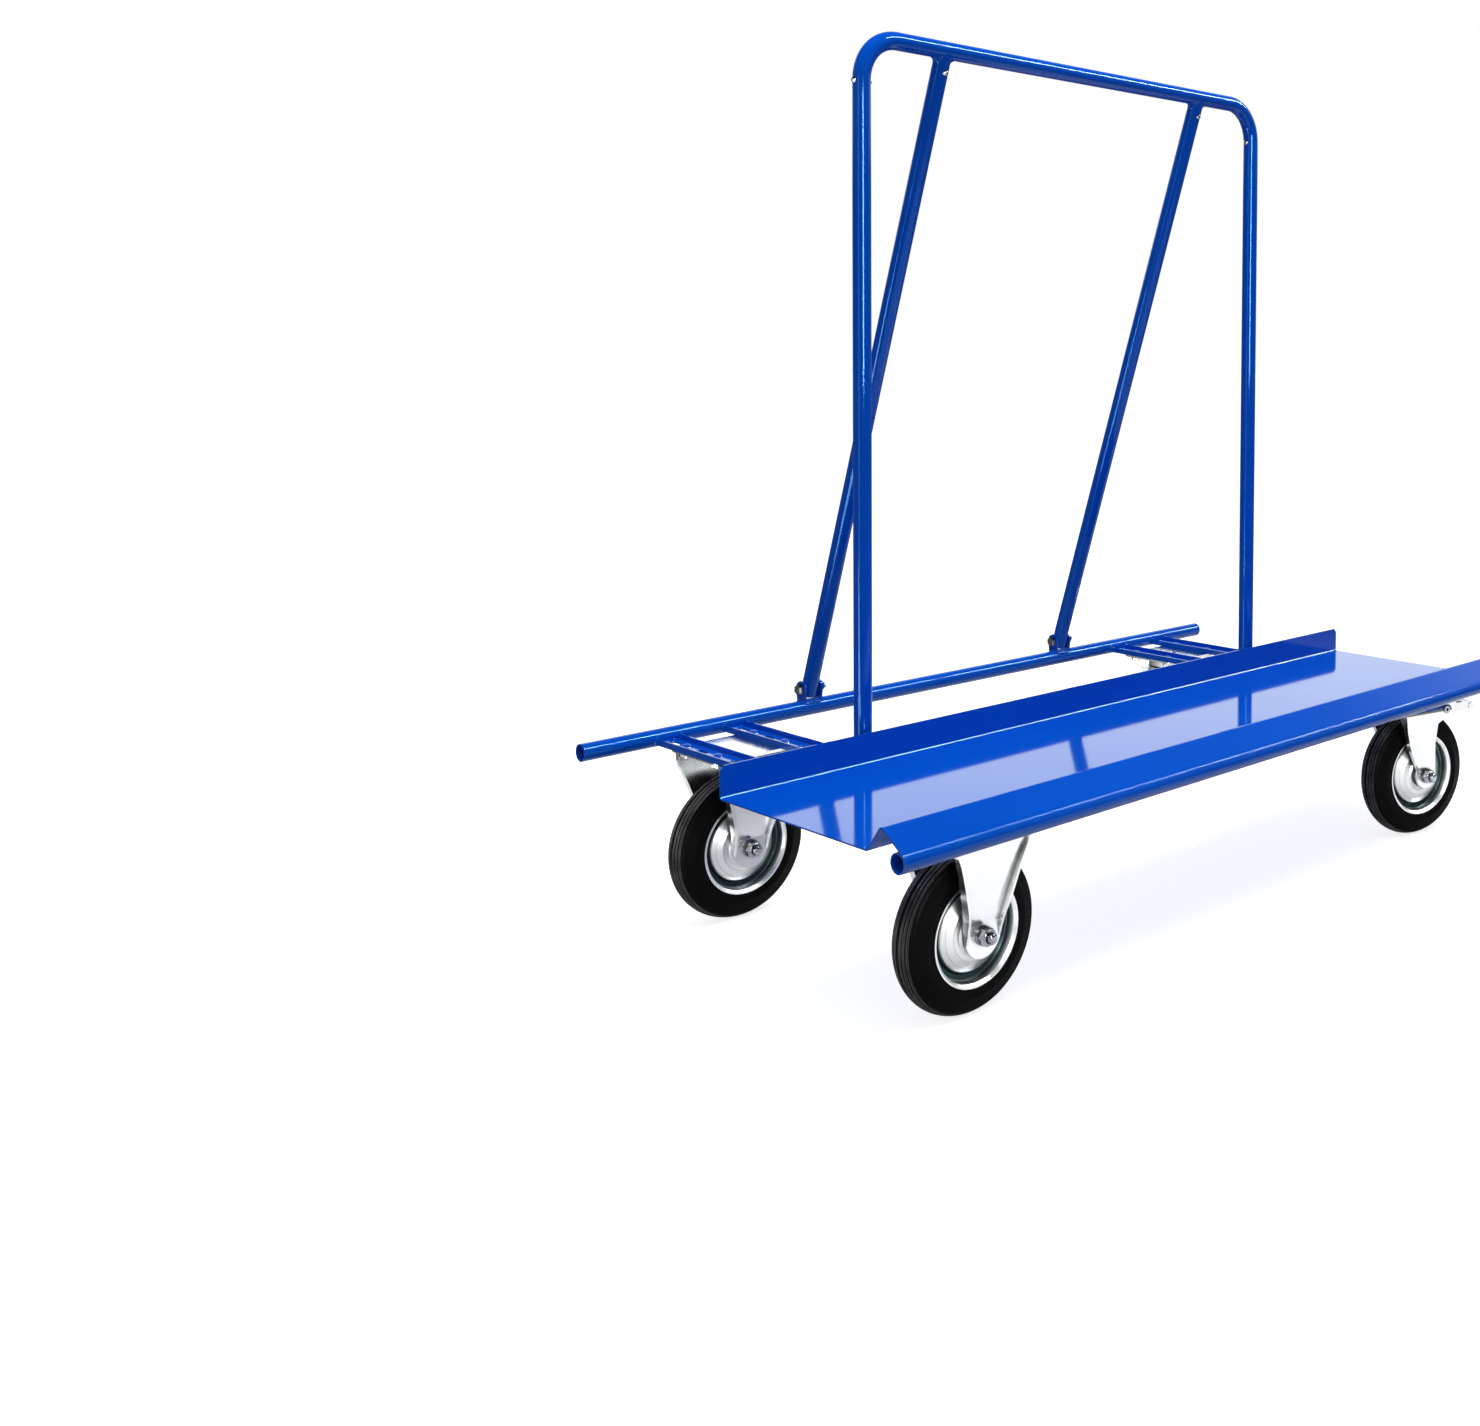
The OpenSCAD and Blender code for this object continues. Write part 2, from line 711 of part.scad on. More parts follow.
module balls(y, turn) {
    count = 20;
    small_count = 14;
    color(steel) at_castor(1, y, turn) {
        for (i = [0 : count - 1]) rotate([0, 0, i * 360 / count])
            translate([ball_ring, 0, ball_z]) sphere(r = ball_r);
        for (i = [0 : small_count - 1]) rotate([0, 0, i * 360 / small_count])
            translate([small_ball_ring, 0, small_ball_z]) sphere(r = small_ball_r);
    }
}

// Brake pedal: a hollow lever on a pin through the fork's ears, with a shoe over the tyre and a rolled end.
// Its outlines are drawn from the pivot, and trim draws in the sheet's inner side.
module pedal_plan(trim = 0) {
    cheek = pedal_cheek - trim;
    half = pedal_half - trim;
    tip = pedal_reach - trim;
    back = -pedal_knee.x;
    polygon([
        [back, -cheek], [12, -cheek], [pedal_knee.x, -half], [tip, -half],
        [tip, half], [pedal_knee.x, half], [12, cheek], [back, cheek]
    ]);
}

module pedal_side() {
    lug = 8;
    circle(r = lug);
    polygon([
        [0, lug], pedal_knee, [pedal_reach, pedal_tip], [pedal_reach, pedal_skirt],
        [26, pedal_skirt], [0, -lug]
    ]);
}

// What lies under the sheet of the pedal's top
module pedal_hollow_side() {
    low = 3 * pedal_skirt;
    polygon([
        [-pedal_knee.x, 8 - pedal_t], [0, 8 - pedal_t], [pedal_knee.x, pedal_knee.y - pedal_t],
        [pedal_reach, pedal_tip - pedal_t], [pedal_reach, low], [-pedal_knee.x, low]
    ]);
}

module pedal(y, turn) {
    shoe_half = 14;
    color(zinc) at_castor(1, y, turn) difference() {
        translate([pivot.x, 0, pivot.y]) {
            difference() {
                intersection() {
                    translate([0, 0, -through / 2]) linear_extrude(through) pedal_plan();
                    upright(-through / 2, through / 2) pedal_side();
                }
                intersection() {
                    translate([0, 0, -through / 2]) linear_extrude(through) pedal_plan(pedal_t);
                    upright(-through / 2, through / 2) pedal_hollow_side();
                }
                // A slot in each side
                translate([50, through / 2, 2]) rotate([90, 90, 0]) slot(3, 14, through);
            }
            upright(-shoe_half, shoe_half) polygon([[9, -10.5], [23, -14], [23, 9], [9, 7.5]]);
            translate([pedal_reach - roll_r, 0, pedal_tip - roll_r]) rotate([90, 0, 0])
                cylinder(h = 2 * pedal_half + 2, r = roll_r, center = true);
        }
        cross_hole(pivot.x, pivot.y, pivot_r + running);
    }
}

module pedal_pin(y, turn) {
    half = fork_gap_head + fork_t + seat;
    head_t = 1.5;
    color(steel) at_castor(1, y, turn) translate([pivot.x, 0, pivot.y]) rotate([90, 0, 0]) difference() {
        union() {
            cylinder(h = 2 * half, r = pivot_r, center = true);
            for (s = [0, 180]) rotate([s, 0, 0]) translate([0, 0, half])
                cylinder(h = head_t, r = pivot_r + 2);
        }
        for (s = [0, 180]) rotate([s, 0, 0]) translate([0, 0, half - 4])
            cylinder(h = 8, r = pivot_r - 1.5);
    }
}

front_tube();
rear_tube();
channel(-castor_x - channel_dx);  // channel_left_outer
channel(-castor_x + channel_dx);  // channel_left_inner
channel(castor_x - channel_dx);  // channel_right_inner
channel(castor_x + channel_dx);  // channel_right_outer
tray();
hoop();
leg_spigots();
leg_bolts();
brace(-brace_x);  // brace_left
brace(brace_x);  // brace_right
brace_clevises();
brace_bolts();
brace_nuts();
vent_rivets();
castor_bolts();
castor_nuts();
plate_fixed(1);  // plate_rear_left
plate_fixed(-1);  // plate_front_left
plate_swivel(1);  // plate_rear_right
plate_swivel(-1);  // plate_front_right
fork_fixed(1);  // fork_rear_left
fork_fixed(-1);  // fork_front_left
fork_swivel(1, rear_turn);  // fork_rear_right
fork_swivel(-1, front_turn);  // fork_front_right
at_castor(-1, 1) axle(0);  // axle_rear_left
at_castor(-1, -1) axle(0);  // axle_front_left
at_castor(1, 1, rear_turn) axle(trail);  // axle_rear_right
at_castor(1, -1, front_turn) axle(trail);  // axle_front_right
at_castor(-1, 1) tyre(0);  // tyre_rear_left
at_castor(-1, -1) tyre(0);  // tyre_front_left
at_castor(1, 1, rear_turn) tyre(trail);  // tyre_rear_right
at_castor(1, -1, front_turn) tyre(trail);  // tyre_front_right
at_castor(-1, 1) rim(0);  // rim_rear_left
at_castor(-1, -1) rim(0);  // rim_front_left
at_castor(1, 1, rear_turn) rim(trail);  // rim_rear_right
at_castor(1, -1, front_turn) rim(trail);  // rim_front_right
at_castor(-1, 1) rollers(0);  // rollers_rear_left
at_castor(-1, -1) rollers(0);  // rollers_front_left
at_castor(1, 1, rear_turn) rollers(trail);  // rollers_rear_right
at_castor(1, -1, front_turn) rollers(trail);  // rollers_front_right
kingpin(1);  // kingpin_rear_right
kingpin(-1);  // kingpin_front_right
balls(1, rear_turn);  // balls_rear_right
balls(-1, front_turn);  // balls_front_right
pedal(1, rear_turn);  // pedal_rear_right
pedal(-1, front_turn);  // pedal_front_right
pedal_pin(1, rear_turn);  // pedal_pin_rear_right
pedal_pin(-1, front_turn);  // pedal_pin_front_right
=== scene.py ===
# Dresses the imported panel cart: camera, studio, paint, zinc, rubber and weld detail. Metres throughout.
import json
import math

import bmesh
import bpy
from mathutils import Matrix, Vector

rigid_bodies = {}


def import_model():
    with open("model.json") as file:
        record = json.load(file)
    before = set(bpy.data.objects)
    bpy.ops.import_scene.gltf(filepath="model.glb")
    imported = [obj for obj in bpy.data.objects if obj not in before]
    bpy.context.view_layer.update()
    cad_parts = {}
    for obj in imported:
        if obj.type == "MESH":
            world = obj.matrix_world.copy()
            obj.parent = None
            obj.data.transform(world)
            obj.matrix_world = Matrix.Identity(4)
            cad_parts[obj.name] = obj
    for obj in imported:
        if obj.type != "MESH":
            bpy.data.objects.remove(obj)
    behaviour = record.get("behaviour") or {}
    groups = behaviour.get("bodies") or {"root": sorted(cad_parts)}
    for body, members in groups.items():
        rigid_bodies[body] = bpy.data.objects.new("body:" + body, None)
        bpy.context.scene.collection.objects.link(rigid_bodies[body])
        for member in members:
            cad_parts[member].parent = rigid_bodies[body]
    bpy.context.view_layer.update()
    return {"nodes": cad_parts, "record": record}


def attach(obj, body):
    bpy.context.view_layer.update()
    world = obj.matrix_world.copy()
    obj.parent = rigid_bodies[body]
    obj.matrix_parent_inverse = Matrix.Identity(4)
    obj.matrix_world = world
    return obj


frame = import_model()
MM = 0.001

# Camera: place in metres, angles in degrees, lens and sensor in millimetres
CAMERA_AT = Vector((-1.66368, -1.62531, 0.78997))
CAMERA_YAW = 48.89
CAMERA_DOWN = 2.95
CAMERA_ROLL = 0.47
LENS = 38.50
LENS_SHIFT = (-0.2975, -0.1953)
SENSOR = 36

# Sky, as strengths. Diffuse light sees it grow from the horizon to overhead.
UP = (0, 0, 1)
SKY_DIFFUSE = (0.13, 0.45)
# Mirrored, it grows along AWAY, from the camera to behind the cart, and is tinted
AWAY = (0.753, 0.657, 0.0)
AWAY_SPAN = (0.3, 0.8)
SKY_GLOSSY = (0.25, 1.65)
SKY_TINT = (0.96, 1.0, 0.86)
# Mirrored, it is full only in a band: the factors below and above, and the heights over which they change
SKY_LOW = 0.15
SKY_LOW_SPAN = (0.09, 0.15)
SKY_HIGH = 0.12
SKY_HIGH_SPAN = (0.45, 0.64)

FLOOR_HALF = 30
# Albedo and glow of the floor as it lights the cart, as it is mirrored in it and as the camera sees it
FLOOR_BOUNCE = (0.33, 0.05)
FLOOR_MIRRORED = (0.88, 0.18)
FLOOR_FAR = (0.05, 0.1)
FLOOR_SEEN = (0.8, 0.80)
# Where the mirrored floor is bright, and the distances from there between which it turns into FLOOR_FAR
FLOOR_BRIGHT_AT = (0.2, -0.6, 0)
FLOOR_FADE = (1.2, 1.9)

# Softboxes: place, point that they face, width and height, radiance, and the only rays that see them
LAMPS = {
    "top": ((0.1, -0.7, 3.6), (0, -0.1, 0.2), (3.4, 2.6), 3.9, "diffuse"),
    "key": ((-1.4, -2.7, 1.6), (-0.1, -0.1, 0.5), (1.4, 1.4), 0.75, "diffuse"),
    "key_gloss": ((-1.4, -2.7, 1.1), (-0.1, 0.0, 0.95), (0.7, 0.9), 32, "glossy"),
    "side_gloss": ((-3.3, -0.6, 0.9), (0, 0.1, 0.8), (0.7, 1.7), 2.2, "glossy"),
    "line_gloss": ((2.8, -1.65, 3.0), (2.8, -0.5, 0.3), (4.2, 0.28), 60, "glossy"),
    "low_gloss": ((-2.3, -0.1, 0.03), (-2.3, 0.05, 1.0), (2.6, 0.6), 10, "glossy"),
    "left": ((-3.0, -0.3, 0.9), (0, 0, 0.5), (1.2, 1.2), 1.1, "diffuse"),
}

# Two ends of each finish's colour
BLUE = ((0.0, 0.083, 0.59), (0.0, 0.091, 0.64))
ZINC = ((0.90, 0.925, 0.93), (0.98, 0.985, 0.99))
STEEL = ((0.26, 0.28, 0.30), (0.55, 0.57, 0.60))
RUBBER = (0.0015, 0.004)
BLUE_GLOSS = (0.18, 0.44, 0.72, 1)
PAINT_IOR = 1.6
# Height on the castor bolts above which they are painted: the channels' webs
WEB_TOP = 0.236

# Tone of a pressed rim by distance from its axle in millimetres: a darker hub, a stepped dome with painted
# shade lines at its steps, painted shade in the sunk ring and beside the lip, and a painted highlight on
# the lip
RIM_TONES_AND_PAINTED_LIGHT = [
    (20, 0.5), (26, 0.90), (32.6, 0.86), (33.4, 0.50), (34.2, 0.86),
    (41.2, 0.84), (42, 0.55), (42.8, 0.80), (47.6, 0.74), (49.2, (0.04, 0.075, 0.08)),
    (56.4, (0.03, 0.055, 0.06)), (58.4, (0.36, 0.40, 0.40)), (59.6, 1.0), (66, 1.0),
]

WHEEL_R = 0.1
TREAD_CROWN = 0.026
# Edges of the tread's grooves and the end of the tread, as turns about the crown's centre in degrees
RIB_EDGES = [7, 11, 18, 22, 29, 33]
TREAD_END = 60
# Width of the painted highlight beside a rib's edge in degrees, and how much paler than the tyre it is
RIB_SOFT = 1.7
RIB_HIGHLIGHT = 120

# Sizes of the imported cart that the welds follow: long tubes, hoop's bar, braces and channels
TUBE_R = 12 * MM
TUBE_Y = 330 * MM
TUBE_Z = 241 * MM
BAR = Vector((0, 0.024, 1.178))
BRACE_X = 0.261
BRACE_TILT = math.radians(18.624)
CHANNELS = [side * 0.45 + row * 0.0525 for side in (-1, 1) for row in (-1, 1)]

# Weld bead: points round it, least number of steps, and its step, ripple and ends against its radius
BEAD_SIDES = 10
BEAD_STEPS = 6
BEAD_STEP = 0.35
BEAD_WAVE = 0.42
BEAD_RIPPLE = 0.14
BEAD_END = 0.45
# A bead comes from its ends to its full radius sooner with a higher number
BEAD_SWELL = 4.0

# Fillets of the braces' tops: reach along brace and bar, depth sunk into both, and angles about the brace
FILLET_REACH = 13 * MM
FILLET_SINK = 0.3 * MM
FILLET_TURNS = range(-84, 85, 7)
FILLET_STEPS = 8

# Axle ends, along the axle from the wheel's middle plane: the nut's outer face and the end of the thread
NUT_FACE = 45.9 * MM
THREAD_END = 52.5 * MM
THREAD_R = 6.0 * MM
THREAD_PITCH = 1.75 * MM
THREAD_DEPTH = 0.55 * MM
THREAD_STEPS = 30
AXLE_SIDES = 28
# Radius and height in millimetres of the washer face, over the nut, and the chamfer, over the thread's end
COLLAR = [(9.4, -0.8), (9.2, 0.1), (8.6, 0.5), (6.1, 0.5), (6.1, -0.8), (9.4, -0.8)]
CHAMFER = [(4.7, 0.8), (0.4, 0.9)]


def put(name, data):
    """A new object in the scene."""
    obj = bpy.data.objects.new(name, data)
    bpy.context.scene.collection.objects.link(obj)
    return obj


def add_camera():
    """Looks along the cart's diagonal: yaw turns from +Y towards +X."""
    yaw, down, roll = (math.radians(a) for a in (CAMERA_YAW, CAMERA_DOWN, CAMERA_ROLL))
    ahead = Vector((math.sin(yaw) * math.cos(down), math.cos(yaw) * math.cos(down), -math.sin(down)))
    right = Vector((math.cos(yaw), -math.sin(yaw), 0))
    up = right.cross(ahead)
    turned_right = math.cos(roll) * right + math.sin(roll) * up
    turned_up = -math.sin(roll) * right + math.cos(roll) * up
    lens = bpy.data.cameras.new("camera")
    lens.lens = LENS
    lens.sensor_width = SENSOR
    lens.shift_x, lens.shift_y = LENS_SHIFT
    camera = put("camera", lens)
    turned = Matrix((turned_right, turned_up, -ahead)).transposed().to_4x4()
    camera.matrix_world = Matrix.Translation(CAMERA_AT) @ turned
    bpy.context.scene.camera = camera


def rgb(tone):
    """A tone as a colour: a plain number is a grey."""
    return (tone, tone, tone) if isinstance(tone, (int, float)) else tone


class Nodes:
    """Helpers that fill a node tree: they take numbers or sockets, and return their result's socket."""

    def __init__(self, tree, output):
        self.tree = tree
        tree.nodes.clear()
        self.out = self.add(output)
        self.coords = self.add("ShaderNodeTexCoord")
        self.place = self.coords.outputs["Object"]

    def add(self, kind, **values):
        """A node of that kind, with its inputs or settings set by name."""
        node = self.tree.nodes.new(kind)
        for key, value in values.items():
            if key in node.inputs:
                node.inputs[key].default_value = value
            else:
                setattr(node, key, value)
        return node

    def feed(self, into, value):
        """Joins a socket to an input, or sets the input to a plain value."""
        if isinstance(value, bpy.types.NodeSocket):
            self.tree.links.new(value, into)
        else:
            into.default_value = value

    def math(self, operation, a, b=0.0):
        """Result of one sum."""
        node = self.add("ShaderNodeMath", operation=operation)
        self.feed(node.inputs[0], a)
        self.feed(node.inputs[1], b)
        return node.outputs[0]

    def vector(self, operation, a, b=(0, 0, 0)):
        """Result of one vector sum: a number for lengths and the dot product, and a vector otherwise."""
        node = self.add("ShaderNodeVectorMath", operation=operation)
        self.feed(node.inputs[0], a)
        self.feed(node.inputs[1], b)
        number = operation in ("LENGTH", "DISTANCE", "DOT_PRODUCT")
        return node.outputs["Value" if number else "Vector"]

    def span(self, value, low, high, first=0, last=1, kind="LINEAR"):
        """Goes from first to last as value goes from low to high."""
        node = self.add("ShaderNodeMapRange", interpolation_type=kind)
        for key, end in zip(("From Min", "From Max", "To Min", "To Max"), (low, high, first, last)):
            node.inputs[key].default_value = end
        self.feed(node.inputs["Value"], value)
        return node.outputs["Result"]

    def choose(self, part, other, mine):
        """Shader other where part is 0, and mine where it is 1."""
        mix = self.add("ShaderNodeMixShader")
        for into, value in zip(mix.inputs, (part, other, mine)):
            self.feed(into, value)
        return mix.outputs[0]


class Shader(Nodes):
    """A Principled material, with helpers for what varies over it."""

    def __init__(self, name):
        self.material = bpy.data.materials.new(name)
        self.material.use_nodes = True
        super().__init__(self.material.node_tree, "ShaderNodeOutputMaterial")
        self.bsdf = self.add("ShaderNodeBsdfPrincipled")
        self.feed(self.out.inputs["Surface"], self.bsdf.outputs["BSDF"])

    def set(self, **values):
        for key, value in values.items():
            self.feed(self.bsdf.inputs[key.replace("_", " ")], value)

    def noise(self, scale, detail=3):
        node = self.add("ShaderNodeTexNoise", Scale=scale, Detail=detail)
        self.feed(node.inputs["Vector"], self.place)
        return node.outputs["Fac"]

    def ramp(self, value, *stops):
        """Colour of a value from 0 to 1, by stops of place and tone."""
        node = self.add("ShaderNodeValToRGB")
        elements = node.color_ramp.elements
        while len(elements) < len(stops):
            elements.new(0.5)
        for element, (place, tone) in zip(elements, stops):
            element.position = place
            element.color = (*rgb(tone), 1)
        self.feed(node.inputs["Fac"], value)
        return node.outputs["Color"]

    def graded(self, value, stops):
        """Colour of a value, by stops in its own units."""
        low, high = stops[0][0], stops[-1][0]
        parts = [((at - low) / (high - low), tone) for at, tone in stops]
        return self.ramp(self.span(value, low, high), *parts)

    def bump(self, height, strength, distance):
        node = self.add("ShaderNodeBump", Strength=strength, Distance=distance)
        self.feed(node.inputs["Height"], height)
        return node.outputs["Normal"]

    def times(self, a, b):
        """Product of two colours."""
        mix = self.add("ShaderNodeMixRGB", blend_type="MULTIPLY", Fac=1)
        self.feed(mix.inputs["Color1"], a)
        self.feed(mix.inputs["Color2"], b)
        return mix.outputs["Color"]

    def corners(self, reach, depth):
        """Painted shade: white in the open, and as dark as depth in corners narrower than reach."""
        node = self.add("ShaderNodeAmbientOcclusion", samples=6, Distance=reach)
        return self.ramp(node.outputs["AO"], (0.25, depth), (0.85, 1.0))

    def about(self, centre, axis):
        """The distance from an axle and the distance along it, in metres."""
        offset = self.vector("SUBTRACT", self.place, centre)
        radius = self.vector("LENGTH", self.vector("CROSS_PRODUCT", offset, axis))
        return radius, self.vector("DOT_PRODUCT", offset, axis)


def blue_paint():
    """Gloss blue enamel, almost a mirror at a low angle, with a faint unevenness in depth of colour."""
    s = Shader("blue_paint")
    s.set(
        IOR=PAINT_IOR,
        Specular_Tint=BLUE_GLOSS,
        Base_Color=s.ramp(s.noise(5), (0.3, BLUE[0]), (0.7, BLUE[1])),
        Roughness=s.ramp(s.noise(30, detail=4), (0.3, 0.06), (0.75, 0.08)),
        Normal=s.bump(s.noise(240, detail=2), strength=0.004, distance=0.3 * MM),
    )
    return s.material


def zinc_plate(name="zinc_plate", tint=None, rough=(0.14, 0.28)):
    """Bright zinc: metal with soft cloudy roughness and painted shade in its corners; tint adds a colour by
    place.
    """
    s = Shader(name)
    tone = s.ramp(s.noise(22, detail=4), (0.3, ZINC[0]), (0.7, ZINC[1]))
    # Painted shade: the zinc darkens in corners narrower than 12 mm.
    tone = s.times(tone, s.corners(reach=12 * MM, depth=0.25))
    if tint:
        tone = s.times(tone, tint(s))
    s.set(
        Metallic=1.0,
        Base_Color=tone,
        Roughness=s.ramp(s.noise(60, detail=6), (0.25, rough[0]), (0.8, rough[1])),
        Normal=s.bump(s.noise(260), strength=0.05, distance=0.3 * MM),
    )
    return s.material


def rim_zinc(name, centre, axis):
    """Zinc of one rim, with painted shade in its sunk ring and at its dome's steps, and a painted highlight
    on its lip.
    """
    def painted_rim_rings(s):
        radius, _ = s.about(centre, axis)
        # Painted shade and highlight rings, by distance from the axle.
        return s.graded(radius, [(r * MM, tone) for r, tone in RIM_TONES_AND_PAINTED_LIGHT])

    return zinc_plate(name, painted_rim_rings, rough=(0.27, 0.36))


def bright_steel():
    """Turned steel of bolts, pins and bearings, with painted shade in threads and corners."""
    s = Shader("bright_steel")
    tone = s.ramp(s.noise(40, detail=4), (0.3, STEEL[0]), (0.7, STEEL[1]))
    s.set(
        Metallic=1.0,
        # Painted shade darkens the steel in its threads and corners.
        Base_Color=s.times(tone, s.corners(reach=5 * MM, depth=0.06)),
        Roughness=s.ramp(s.noise(90, detail=6), (0.25, 0.07), (0.8, 0.16)),
    )
    return s.material


def tyre_rubber(name, centre, axis):
    """Black rubber with a dusty grain; the edges of the ribs carry painted grey highlights."""
    s = Shader(name)
    radius, along = s.about(centre, axis)
    turn = s.math("ARCTAN2", s.math("ABSOLUTE", along), s.math("SUBTRACT", radius, WHEEL_R - TREAD_CROWN))
    stops = [(0, 1)]
    for edge in RIB_EDGES:
        stops += [(edge - RIB_SOFT, 1), (edge, RIB_HIGHLIGHT), (edge + RIB_SOFT, 1)]
    stops.append((TREAD_END, 1))
    # Painted highlights: grey bands beside the edges of the tread's grooves.
    rib_highlight = s.graded(s.math("DEGREES", turn), stops)
    tone = s.ramp(s.noise(30, detail=6), (0.35, RUBBER[0]), (0.75, RUBBER[1]))
    s.set(
        Specular_IOR_Level=0.05,
        Base_Color=s.times(tone, rib_highlight),
        Roughness=s.ramp(s.noise(70, detail=5), (0.3, 0.40), (0.75, 0.58)),
        Normal=s.bump(s.noise(900), strength=0.25, distance=0.4 * MM),
    )
    return s.material


def painted_bolt():
    """Castor bolts: the heads were painted with the channels, and what is below stays zinc."""
    s = Shader("painted_bolt")
    place = s.add("ShaderNodeSeparateXYZ")
    s.feed(place.inputs[0], s.place)
    above = s.math("GREATER_THAN", place.outputs["Z"], WEB_TOP)
    s.set(
        IOR=PAINT_IOR,
        Metallic=s.math("SUBTRACT", 1.0, above),
        Base_Color=s.ramp(above, (0.4, ZINC[0]), (0.6, BLUE[0])),
        Roughness=s.ramp(s.noise(60, detail=4), (0.3, 0.08), (0.75, 0.2)),
    )
    return s.material


def spin_joints():
    """Each wheel's place in the cart's names, with the joint that it spins on."""
    joints = frame["record"]["behaviour"]["joints"]
    return [(j["name"].removeprefix("spin_"), j) for j in joints if j["name"].startswith("spin_")]


def dress_nodes(finishes):
    """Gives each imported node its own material, or that of its slot."""
    looks = {
        "castor_bolts": painted_bolt(),
        "vent_rivets": finishes["bright_steel"],
        "brace_bolts": finishes["bright_steel"],
        "brace_nuts": finishes["blue_paint"],
    }
    for where, joint in spin_joints():
        looks["rim_" + where] = rim_zinc("rim_zinc_" + where, joint["pos_m"], joint["axis"])
        looks["tyre_" + where] = tyre_rubber("tyre_rubber_" + where, joint["pos_m"], joint["axis"])
    slots = {row["node"]: row["material_slot"] for row in frame["record"]["subparts"]}
    for name, node in frame["nodes"].items():
        node.data.materials.clear()
        node.data.materials.append(looks[name] if name in looks else finishes[slots[name]])


def add_stage():
    """White floor: it reads white to the camera, keeps a faint shadow and sends little light back up."""
    half = FLOOR_HALF
    mesh = bpy.data.meshes.new("floor")
    corners = [(-half, -half, 0), (half, -half, 0), (half, half, 0), (-half, half, 0)]
    mesh.from_pydata(corners, [], [(0, 1, 2, 3)])
    floor = put("floor", mesh)
    material = bpy.data.materials.new("floor")
    material.use_nodes = True
    s = Nodes(material.node_tree, "ShaderNodeOutputMaterial")

    def lit(albedo, strength):
        """Diffuse floor with a glow of its own."""
        both = s.add("ShaderNodeAddShader")
        s.feed(both.inputs[0], s.add("ShaderNodeBsdfDiffuse", Color=(*rgb(albedo), 1)).outputs[0])
        s.feed(both.inputs[1], s.add("ShaderNodeEmission", Strength=strength).outputs[0])
        return both.outputs[0]

    near = s.span(s.vector("DISTANCE", s.place, FLOOR_BRIGHT_AT), *FLOOR_FADE, 1, 0, "SMOOTHSTEP")
    mirrored = s.choose(near, lit(*FLOOR_FAR), lit(*FLOOR_MIRRORED))
    path = s.add("ShaderNodeLightPath")
    last = s.choose(path.outputs["Is Glossy Ray"], lit(*FLOOR_BOUNCE), mirrored)
    last = s.choose(path.outputs["Is Camera Ray"], last, lit(*FLOOR_SEEN))
    s.feed(s.out.inputs["Surface"], last)
    mesh.materials.append(material)


def add_world():
    """White to the camera, brightest overhead in diffuse light and behind the cart in reflections."""
    world = bpy.data.worlds.new("world")
    world.use_nodes = True
    s = Nodes(world.node_tree, "ShaderNodeOutputWorld")

    def lean(axis, low, high, first, last):
        """Goes from first to last as the direction leans along axis from low to high."""
        leaning = s.vector("DOT_PRODUCT", s.coords.outputs["Generated"], axis)
        return s.span(leaning, low, high, first, last, "SMOOTHSTEP")

    def glow(strength, tint=(1, 1, 1)):
        light = s.add("ShaderNodeBackground", Color=(*tint, 1))
        s.feed(light.inputs["Strength"], strength)
        return light.outputs[0]

    band = s.math("MULTIPLY", lean(UP, *SKY_LOW_SPAN, SKY_LOW, 1), lean(UP, *SKY_HIGH_SPAN, 1, SKY_HIGH))
    glossy = glow(s.math("MULTIPLY", lean(AWAY, *AWAY_SPAN, *SKY_GLOSSY), band), SKY_TINT)
    diffuse = glow(lean(UP, 0, 1, *SKY_DIFFUSE))
    path = s.add("ShaderNodeLightPath")
    last = s.choose(path.outputs["Is Glossy Ray"], diffuse, glossy)
    last = s.choose(path.outputs["Is Camera Ray"], last, glow(1))
    s.feed(s.out.inputs["Surface"], last)
    bpy.context.scene.world = world


def add_lamps():
    for name, (at, aim, size, radiance, rays) in LAMPS.items():
        lamp = bpy.data.lights.new(name, "AREA")
        lamp.shape = "RECTANGLE"
        lamp.size, lamp.size_y = size
        lamp.energy = radiance * math.pi * size[0] * size[1]
        obj = put(name, lamp)
        obj.location = at
        obj.rotation_euler = (Vector(aim) - Vector(at)).to_track_quat("-Z", "Y").to_euler()
        obj.visible_diffuse = rays == "diffuse"
        obj.visible_glossy = rays == "glossy"
        obj.visible_camera = False


def ring(centre, side, other, radii):
    """Points round a centre, one for each radius, from side towards other."""
    turns = [2 * math.pi * j / len(radii) for j in range(len(radii))]
    return [centre + r * (math.cos(a) * side + math.sin(a) * other) for a, r in zip(turns, radii)]


